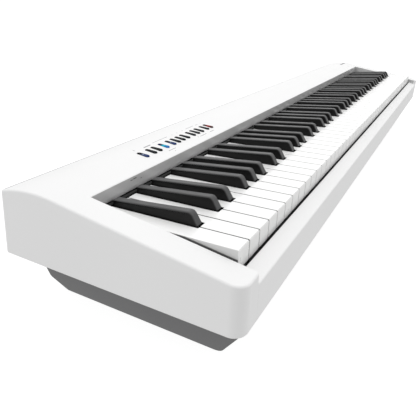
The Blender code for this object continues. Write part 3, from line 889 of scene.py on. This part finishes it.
def comb_corners(fingers):
    """Corners of keys side by side, joined by the comb bar behind the nameboard."""
    corners = []
    for steps in fingers:
        left_side = [(steps[-1][1], COMB[0])]
        right_side = [(steps[-1][2], COMB[0])]
        for behind, ahead in zip(steps[:0:-1], steps[-2::-1]):
            left_side += [(behind[1], behind[0]), (ahead[1], behind[0])]
            right_side += [(behind[2], behind[0]), (ahead[2], behind[0])]
        left_side.append((steps[0][1], steps[0][0]))
        right_side.append((steps[0][2], steps[0][0]))
        corners += left_side + right_side[::-1]
    for steps in reversed(fingers):
        left, right = steps[-1][1:]
        corners += [(right, COMB[1]), (right, TAIL_REAR), (left, TAIL_REAR), (left, COMB[1])]
    kept = []
    for index, corner in enumerate(corners):
        before = kept[-1] if kept else corners[-1]
        after = corners[(index + 1) % len(corners)]
        bend = (Vector(corner) - Vector(before)).cross(Vector(after) - Vector(corner))
        if math.dist(corner, before) > 1e-6 and abs(bend) > 1e-12:
            kept.append(corner)
    return kept


def shade_sides(mesh_data):
    """Paints shade on the keys: a near-black matt material on the sides in the gaps and on the hidden tails
    under the nameboard, a darker copy of the key white on the outermost sides, and a greyer copy of it on
    the fronts.
    """
    for face in mesh_data.faces:
        face.normal_update()
        middle = face.calc_center_median()
        outermost = abs(middle.x) > WELL - 0.004
        upright = abs(face.normal.z) < 0.2
        in_gap = upright and not outermost and middle.y > WHITE_FRONT + 0.0008
        # Painted shade: near-black on the sides in the gaps and on the tails under the nameboard.
        if in_gap or middle.y > FELT_FRONT - 0.0008:
            face.material_index = 1
        # Painted shade: a darker copy of the key white on the outermost sides.
        elif upright and outermost and middle.y > WHITE_FRONT + 0.0008:
            face.material_index = 2
        # Painted shade: a greyer copy of the key white on the fronts.
        elif middle.y < WHITE_FRONT + 0.0004:
            face.material_index = 3


def white_set(name, fingers, material):
    corners = comb_corners(fingers)
    outline = rounded_path([(x, y, 0.0006) for x, y in corners], 3)
    mesh_data = bmesh.new()
    stations = stations_of(WHITE_UPPER, WHITE_LOWER)
    slab(mesh_data, outline, piecewise(WHITE_UPPER), piecewise(WHITE_LOWER), stations, 0.0006)
    shade_sides(mesh_data)
    item = finish_mesh(name + "_tops", mesh_data, material, name)
    even_shading(item)
    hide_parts(name)


BLACK_BASE_HALF = 0.0053
BLACK_TOP_HALF = 0.0048
BLACK_FOOT = 0.1185
BLACK_CREST = BLACK_HIGH.z
BLACK_FALL = 0.095
BLACK_NOSE = 0.0060
BLACK_RIM = 0.0015


def black_side():
    """Side view of a black key's raised part: upright foot, leaning tip, rounded crest."""
    back_top = BLACK_CREST - BLACK_FALL * (BLACK_BACK + 0.059)
    corner_top = BLACK_CREST + BLACK_FALL * 0.0024
    corners = [
        (BLACK_FRONT, BLACK_FOOT, 0),
        (BLACK_BACK, BLACK_FOOT, 0),
        (BLACK_BACK, back_top, 0.0006),
        (-0.0614, corner_top, BLACK_NOSE),
        (BLACK_FRONT, WHITE_TOP - 0.0006, 0.0012),
    ]
    return rounded_path(corners, 7)


def black_half(z):
    """Half the width of a black key at a height: upright below the white tops, then leaning in."""
    share = min(1.0, max(0.0, (z - WHITE_TOP) / (BLACK_CREST - WHITE_TOP)))
    return BLACK_BASE_HALF + (BLACK_TOP_HALF - BLACK_BASE_HALF) * share


def black_cap(mesh_data, centre):
    """The raised part of a black key, with rounded edges round both of its sides."""
    steps = 5
    rings = []
    for number, ring in enumerate(swept_rings(black_side(), 0.0, 0.0, BLACK_RIM, steps)):
        side = -1 if number <= steps else 1
        rings.append([(centre + x + side * black_half(z), y, z) for x, y, z in ring])
    made = skin(mesh_data, rings, ends=False)
    for ring in (made[0], made[-1]):
        face = mesh_data.faces.new(ring)
        bmesh.ops.bisect_plane(
            mesh_data,
            geom=list(face.verts) + list(face.edges) + [face],
            dist=1e-6,
            plane_co=(0, 0, WHITE_TOP),
            plane_no=(0, 0, 1),
        )


def black_set(name, octave_x, letters, material):
    fingers = [black_steps(octave_x, letter) for letter in letters]
    corners = comb_corners(fingers)
    outline = rounded_path([(x, y, 0.0006) for x, y in corners], 2)
    mesh_data = bmesh.new()
    stations = stations_of(BLACK_STICK_UPPER, BLACK_STICK_LOWER)
    slab(mesh_data, outline, piecewise(BLACK_STICK_UPPER), piecewise(BLACK_STICK_LOWER), stations, 0.0004)
    for letter in letters:
        black_cap(mesh_data, octave_x + BLACK_CENTRES[letter])
    # Painted shade: near-black on the black keys' sides below the white tops.
    for face in mesh_data.faces:
        if face.calc_center_median().z < WHITE_TOP - 0.0030:
            face.material_index = 1
    item = finish_mesh(name + "_sharps", mesh_data, material, name, 50)
    even_shading(item)
    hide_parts(name)


def octave_start(number):
    return (number - 1) * OCTAVE - 24 * PITCH


def keyboard(white, black):
    bass = octave_start(0)
    white_set("white_key_A0", [white_steps(bass, 5, first=True)], white)
    white_set("white_key_B0", [white_steps(bass, 6)], white)
    black_set("black_key_As0", bass, ["As"], black)
    for number in range(1, 8):
        start = octave_start(number)
        fingers = [white_steps(start, index) for index in range(7)]
        if number == 4:
            for letter, finger in zip(WHITE_LETTERS, fingers):
                white_set(f"white_key_{letter}4", [finger], white)
            for letter in BLACK_CENTRES:
                black_set(f"black_key_{letter}4", start, [letter], black)
            continue
        if number == 7:
            fingers.append(white_steps(octave_start(8), 0, notched=False))
        white_set(f"white_keys_octave_{number}", fingers, white)
        black_set(f"black_keys_octave_{number}", start, list(BLACK_CENTRES), black)


# --- small parts

GRILLE_PITCH = 0.004


def speaker_grilles(material):
    """Perforated steel discs: a triangle mesh of wires inside a solid rim."""
    for word in ("left", "right"):
        node = f"speaker_grille_{word}"
        middle, radius = disc_of(node)
        mesh_data = bmesh.new()
        bmesh.ops.create_circle(mesh_data, cap_ends=True, cap_tris=False, radius=radius, segments=64)
        count = int(radius / GRILLE_PITCH)
        for direction in range(3):
            turn = math.radians(60 * direction)
            normal = Vector((math.cos(turn), math.sin(turn), 0))
            for step in range(-count, count + 1):
                bmesh.ops.bisect_plane(
                    mesh_data,
                    geom=mesh_data.verts[:] + mesh_data.edges[:] + mesh_data.faces[:],
                    plane_co=normal * (step * GRILLE_PITCH),
                    plane_no=normal,
                    dist=1e-6,
                )
        bmesh.ops.translate(mesh_data, verts=mesh_data.verts, vec=middle)
        item = finish_mesh(node + "_mesh", mesh_data, material, "piano")
        wires = item.modifiers.new("wires", "WIREFRAME")
        wires.thickness = 0.0014
        wires.use_even_offset = False
        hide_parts(node)


def feet(material):
    """Rubber feet with a rounded foot edge and a moulded ring."""
    for name in [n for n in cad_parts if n.endswith("_foot")]:
        middle, radius = disc_of(name)
        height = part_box(name)[1].z
        profile = [(0, 0.0008), (radius * 0.35, 0.0008), (radius * 0.42, 0.0)]
        profile += [(radius * 0.85, 0.0), (radius * 0.95, 0.0004), (radius, 0.0014)]
        profile += [(radius, height - 0.0005), (radius - 0.0005, height), (0, height)]
        mesh_data = bmesh.new()
        turned(mesh_data, profile, (middle.x, middle.y))
        item = finish_mesh(name + "_pad", mesh_data, material, "piano", 60)
        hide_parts(name)


def felt_strips(black_felt):
    """Felt on the back of the rail's lip and along the nameboard's foot."""
    lip = strip_outline(RAIL_BACK + 0.0001, RAIL_BACK + 0.0013, RAIL_LIP + 0.0005, RAIL_TOP - 0.0030)
    extruded("rail_felt", lip, WELL - 0.001, black_felt, 0.0002)
    foot = NAMEBOARD_FOOT
    board = strip_outline(FELT_FRONT, FELT_FRONT + FELT_DEPTH, foot - 0.0006, foot + 0.0004)
    extruded("nameboard_felt", board, WELL - 0.001, black_felt, 0.0002)


def strip_outline(front, back, low, high):
    corners = [(front, low), (back, low), (back, high), (front, high)]
    return rounded_path([(y, z, 0.0003) for y, z in corners], 3)


TOP_EDGE_LINE_WIDTH = 0.0014
# Printed lines as (left, right, y, half width), and ticks as (x, y, half length).
MARK_LINES = [
    (-0.4654, -0.4506, 0.0836, 0.0010),
    (-0.4423, -0.4069, 0.0865, 0.0004),
    (-0.3565, -0.3353, 0.0865, 0.0004),
    (-0.3405, -0.3279, 0.0535, 0.0004),
    (-0.3692, -0.3514, 0.0535, 0.0004),
    (-0.4517, -0.4353, 0.0537, 0.0004),
    (-0.3298, -0.3221, 0.0860, 0.0004),
    (0.5850, 0.6400, 0.0830, 0.0030),
]
MARK_TICKS = [
    (-0.4825, 0.0865, 0.0020),
    (-0.3952, 0.0860, 0.0010),
    (-0.3823, 0.0860, 0.0010),
    (-0.3673, 0.0860, 0.0010),
    (-0.3139, 0.0860, 0.0006),
    (-0.3740, 0.0544, 0.0010),
    (-0.4440, 0.0482, 0.0008),
]
# Marks on the nameboard as (left, right, z, half height).
BOARD_MARKS = [
    (-0.5495, -0.5455, 0.1423, 0.0005),
    (-0.5445, -0.5385, 0.1427, 0.0006),
    (-0.5308, -0.5292, 0.1398, 0.0007),
]
# Round sockets as (x, radius).
ROUND_SOCKETS = [(0.038, 0.0032), (0.096, 0.0034), (0.130, 0.0034), (0.158, 0.0034)]
USB_SOCKET_X = 0.066
SOCKET_Z = 0.0835
SCREW_PITCH = 0.2
SCREW_Y = 0.088


def socket_trim(steel, black):
    """Collars round the round sockets, the power inlet's pin and the USB socket's tongue."""
    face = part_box("jack_panel")[1].y
    collars = bmesh.new()
    for x, radius in ROUND_SOCKETS:
        steps = [(radius + 0.0001, 0.0), (radius + 0.0002, 0.0009), (radius + 0.0008, 0.0012)]
        steps += [(radius + 0.0018, 0.0011), (radius + 0.0023, 0.0005), (radius + 0.0023, 0.0)]
        add_collar(collars, (x, SOCKET_Z), steps, face)
    collar = finish_mesh("socket_collars", collars, steel, "piano", 35)
    even_shading(collar)
    inner = bmesh.new()
    add_rod(inner, (ROUND_SOCKETS[0][0], SOCKET_Z), 0.0009, face - 0.0105, face - 0.0015)
    finish_mesh("power_pin", inner, steel, "piano", 50)
    tongue = bmesh.new()
    add_box(
        tongue,
        (USB_SOCKET_X - 0.0030, face - 0.0115, SOCKET_Z - 0.0016),
        (USB_SOCKET_X + 0.0030, face - 0.0012, SOCKET_Z + 0.0016),
    )
    bmesh.ops.bevel(tongue, geom=tongue.edges[:], offset=0.0004, segments=2, affect="EDGES")
    finish_mesh("usb_tongue", tongue, black, "piano")


def add_collar(mesh_data, centre, steps, face):
    """A closed ring about an axis along Y; steps are (radius, height off the face)."""
    rings = [
        [(x, face + height, z) for x, z in circle(centre, radius, 40)]
        for radius, height in steps
    ]
    made = skin(mesh_data, rings, ends=False)
    bridge(mesh_data, made[-1], made[0])


def add_rod(mesh_data, centre, radius, back, front):
    """A round pin along Y with a domed front end."""
    steps = [(1.0, back), (1.0, front - radius), (0.7, front - radius * 0.3), (0.3, front)]
    skin(mesh_data, [[(x, y, z) for x, z in circle(centre, radius * size, 20)] for size, y in steps])


def base_screws(steel):
    """Domed screws with a cross recess, in two rows under the lower shell."""
    floor = TRAY_LOW.z
    mesh_data = bmesh.new()
    places = [(SCREW_PITCH * (step - 2.5), y) for step in range(6) for y in (-SCREW_Y, SCREW_Y)]
    for x, y in places:
        profile = [(0, floor - 0.0012), (0.0012, floor - 0.0011), (0.0024, floor - 0.0008)]
        profile += [(0.0032, floor - 0.0003), (0.0033, floor + 0.0002), (0, floor + 0.0002)]
        turned(mesh_data, profile, (x, y), 24)
    screws = finish_mesh("base_screws", mesh_data, steel, "piano", 50)
    cutter = bmesh.new()
    for x, y in places:
        plus = [(x + a, y + b) for a, b in cross_outline(0.0003, 0.0016)]
        add_outline_prism(cutter, plus, floor - 0.002, floor - 0.0004)
    cut_with(screws, cutter)
    screws.data.set_sharp_from_angle(angle=math.radians(50))


def cross_outline(half_width, reach):
    """A plus sign: one arm's corners, turned by a quarter three times."""
    arm = [(-half_width, -reach), (half_width, -reach), (half_width, -half_width)]
    outline = []
    for _ in range(4):
        outline += arm
        arm = [(-b, a) for a, b in arm]
    return outline


def printed_marks(ink, dark_ink):
    """Plain lines and ticks round the buttons and on the nameboard, with no lettering."""
    mesh_data = bmesh.new()
    for left, right, y, half in MARK_LINES:
        add_mark(mesh_data, left, right, y - half, y + half)
    for middle, y, half in MARK_TICKS:
        add_mark(mesh_data, middle - 0.0005, middle + 0.0005, y - half, y + half)
    finish_mesh("printed_marks", mesh_data, ink, "piano")
    mesh_data = bmesh.new()
    for left, right, middle, half in BOARD_MARKS:
        low = (left, NAMEBOARD - 0.00005, middle - half)
        add_box(mesh_data, low, (right, NAMEBOARD + 0.0002, middle + half))
    finish_mesh("nameboard_marks", mesh_data, dark_ink, "piano")


def top_edge_line(material):
    """Fine grey line on the top along its rear edge and along its treble end edge."""
    mesh_data = bmesh.new()
    rear = REAR_TOP - EDGE_OUTER
    add_mark(mesh_data, -HALF + CORNER_REAR, HALF - CORNER_REAR, rear - TOP_EDGE_LINE_WIDTH, rear)
    stations = [FRONT + CORNER_FRONT] + crown_stations() + [REAR_TOP - CORNER_REAR]
    side = HALF - EDGE_OUTER
    for front, back in zip(stations, stations[1:]):
        add_mark(mesh_data, side - TOP_EDGE_LINE_WIDTH, side, front, back)
    finish_mesh("top_edge_line", mesh_data, material, "piano")


def add_mark(mesh_data, left, right, front, back):
    """A raised film of ink on the top surface."""
    profile = [(front, -0.0002), (front, 0.00004), (back, 0.00004), (back, -0.0002)]
    skin(mesh_data, [[(x, y, top_height(y) + lift) for y, lift in profile] for x in (left, right)])


# --- stage, light, camera

TENT_BASE = 0.70
TENT_UP = 0.25
TENT_LEFT = 0.13
TENT_FRONT = 0.13
TENT_DIP = 0.9
TENT_DARKEST = 0.05
BACKLIGHT = Vector((0.80, 0.43, 0.42)).normalized()
BACKLIGHT_POWER = 1.3
BACKLIGHT_FOCUS = 8.0
OVERHEAD_PLACE = (0.0, 0.1, 2.2)
OVERHEAD_SIZE = (3.0, 2.0)
OVERHEAD_POWER = 11


def stage():
    """A white floor that turns up far away, as a studio sweep does."""
    material, tree, shader = new_material("pale_floor")
    place = object_coordinates(tree)
    tint = ramp(tree, noise(tree, place, 2.0), [(0.2, (0.20, 0.20, 0.20)), (0.8, (0.22, 0.22, 0.22))])
    link(tree, tint, shader.inputs["Base Color"])
    shader.inputs["Roughness"].default_value = 0.9
    shader.inputs["Specular IOR Level"].default_value = 0.0
    shader.inputs["Emission Color"].default_value = (1, 1, 1, 1)
    shader.inputs["Emission Strength"].default_value = 0.92
    mesh_data = bmesh.new()
    sweep = [(40, 0), (60, 3), (70, 12), (72, 60)]
    rings = [[(x, y, height) for x, y in circle((0, 0), radius, 64)] for radius, height in sweep]
    mesh_data.faces.new(skin(mesh_data, rings, ends=False)[0])
    mesh = bpy.data.meshes.new("floor")
    mesh_data.to_mesh(mesh)
    mesh_data.free()
    mesh.materials.append(material)
    floor = bpy.data.objects.new("floor", mesh)
    bpy.context.scene.collection.objects.link(floor)
    floor.visible_diffuse = False
    floor.visible_glossy = False
    floor.visible_shadow = False


def overhead_light():
    """A big softbox that faces straight down."""
    light = bpy.data.lights.new("overhead", "AREA")
    light.shape = "RECTANGLE"
    light.size, light.size_y = OVERHEAD_SIZE
    light.energy = OVERHEAD_POWER
    item = bpy.data.objects.new("overhead", light)
    item.location = OVERHEAD_PLACE
    bpy.context.scene.collection.objects.link(item)


def direction_gradient(tree, vector):
    """Light of the studio tent by direction: brighter above, and from behind either shoulder."""
    slope = reach_along(tree, vector, (-TENT_LEFT, -TENT_FRONT, TENT_UP))
    axes = axes_of(tree, vector)
    corner = calculate(tree, "MULTIPLY", axes["X"], axes["Y"])
    dipped = calculate(tree, "MULTIPLY_ADD", corner, -TENT_DIP, slope)
    tent = calculate(tree, "MAXIMUM", calculate(tree, "ADD", dipped, TENT_BASE), TENT_DARKEST)
    return calculate(tree, "ADD", tent, backlight(tree, vector))


def backlight(tree, vector):
    """A soft lobe of light low behind the treble end."""
    facing = calculate(tree, "MAXIMUM", reach_along(tree, vector, BACKLIGHT), 0.0)
    lobe = calculate(tree, "POWER", facing, BACKLIGHT_FOCUS)
    return calculate(tree, "MULTIPLY", lobe, BACKLIGHT_POWER)


def lights():
    """A soft tent of light, brighter above, with a big softbox overhead."""
    world = bpy.data.worlds.new("studio")
    world.use_nodes = True
    tree = world.node_tree
    background = tree.nodes["Background"]
    direction = tree.nodes.new("ShaderNodeTexCoord").outputs["Generated"]
    background.inputs["Color"].default_value = (1, 1, 1, 1)
    link(tree, direction_gradient(tree, direction), background.inputs["Strength"])
    bpy.context.scene.world = world
    overhead_light()


CAMERA_PLACE = (-0.91079, -0.25393, 0.32535)
CAMERA_AHEAD = Vector((0.796923, 0.430008, -0.424272)).normalized()
CAMERA_UP = Vector((0.362427, 0.221545, 0.905298))
CAMERA_LENS = 38.07


def camera():
    """Above the bass end, looking along the keys, rolled slightly."""
    data = bpy.data.cameras.new("camera")
    data.lens = CAMERA_LENS
    data.sensor_width = 36.0
    data.clip_end = 1000.0
    item = bpy.data.objects.new("camera", data)
    ahead = CAMERA_AHEAD
    up = (CAMERA_UP - ahead * CAMERA_UP.dot(ahead)).normalized()
    turn = Matrix((ahead.cross(up), up, -ahead)).transposed().to_4x4()
    item.matrix_world = Matrix.Translation(CAMERA_PLACE) @ turn
    bpy.context.scene.collection.objects.link(item)
    bpy.context.scene.camera = item


def dress_cad(steel):
    """Better materials on the CAD nodes that keep their shape."""
    board = circuit_board("board_green")
    cone = moulded("cone_paper", (0.03, 0.03, 0.03), 0.85)
    table = {
        "bottom_plate": moulded("plate_grey", (0.22, 0.22, 0.225), 0.6),
        "key_chassis": brushed("chassis_steel", (0.55, 0.56, 0.57), 0.38),
        "pivot_rod": steel,
        "sensor_board": board,
        "panel_board": board,
        "main_board": board,
        "jack_panel": moulded("socket_black", (0.02, 0.02, 0.02), 0.45),
        "speaker_left": cone,
        "speaker_right": cone,
    }
    for node, material in table.items():
        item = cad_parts[node]
        item.data.materials.clear()
        item.data.materials.append(material)


def cap_materials():
    """Colours by button, listed rear, middle and front: painted shade at the rear and a painted highlight
    in the middle; the rest are plain.
    """
    black = (0.003, 0.003, 0.004)
    navy = (0.015, 0.035, 0.13)
    plain = (black, (0.005, 0.007, 0.009), (0.006, 0.009, 0.011))
    blue = ((0.002, 0.006, 0.05), (0.01, 0.22, 0.32), (0.006, 0.08, 0.28))
    blue_glow = ((0, 0, 0), (0.0, 0.58, 0.66), (0.0, 0.15, 0.40))
    red = ((0.02, 0.003, 0.003), (0.34, 0.006, 0.005), (0.04, 0.003, 0.003))
    return {
        "plain": button_material("button_dark", plain),
        "power_button": button_material("button_navy", (black, (0.05, 0.07, 0.14), navy)),
        "piano_tone_button": button_material("button_slate", (black, (0.03, 0.05, 0.12), navy)),
        "wireless_button": button_material("button_blue", blue, blue_glow),
        "record_button": button_material("button_red", red),
    }


def main():
    camera()
    white = moulded("case_white", (0.835, 0.835, 0.835), 0.5, tone=0.006, shine=0.04)
    board_grey = moulded("nameboard_grey", (0.49, 0.49, 0.49), 0.16, grain=0.0004, depth=0.05)
    key_white = moulded("key_white", (0.90, 0.90, 0.895), 0.22, depth=0.05, tone=0.008)
    # Painted shade: near-black matt that stands for the shade in the key gaps, under the nameboard and at
    # the black keys' feet.
    key_side_painted_shade = moulded("key_side_painted_shade", (0.012, 0.012, 0.012), 0.9, depth=0.3, shine=0.0)
    # Painted shade: a greyer copy of the key white for the key fronts.
    key_front_painted_shade = moulded("key_front_painted_shade", (0.79, 0.79, 0.785), 0.3, depth=0.05)
    # Painted shade: outermost key sides greyer than the key white, near-black beside the cheek.
    key_end = outer_side_painted_shade_material("key_end", (0.66, 0.66, 0.655), (0.14, 0.14, 0.14))
    # Painted sheen on the black keys' tops and painted shade on their sides.
    key_black = sharp_material("key_black", (0.070, 0.070, 0.071), (0.005, 0.005, 0.005))
    base_grey = moulded("base_grey", (0.17, 0.17, 0.172), 0.55)
    black_felt = felt("black_felt", (0.008, 0.008, 0.008))
    rubber = moulded("rubber", (0.02, 0.02, 0.02), 0.8)
    grille = moulded("grille_paint", (0.02, 0.02, 0.02), 0.5)
    ink = moulded("grey_ink", (0.30, 0.30, 0.31), 0.7, shine=0.0)
    dark_ink = moulded("dark_ink", (0.12, 0.12, 0.12), 0.6)
    steel = brushed("rod_steel", (0.62, 0.63, 0.64), 0.22)
    pilot = moulded("pilot_lens", (0.45, 0.55, 0.70), 0.3)
    case_shell(white, board_grey)
    front_rail(white)
    base_shell(base_grey)
    buttons(cap_materials(), pilot)
    keyboard([key_white, key_side_painted_shade, key_end, key_front_painted_shade], [key_black, key_side_painted_shade])
    speaker_grilles(grille)
    feet(rubber)
    felt_strips(black_felt)
    printed_marks(ink, dark_ink)
    top_edge_line(ink)
    socket_trim(steel, rubber)
    base_screws(steel)
    dress_cad(steel)
    stage()
    lights()
    bpy.context.scene.view_settings.view_transform = "Standard"


main()
bpy.context.view_layer.update()
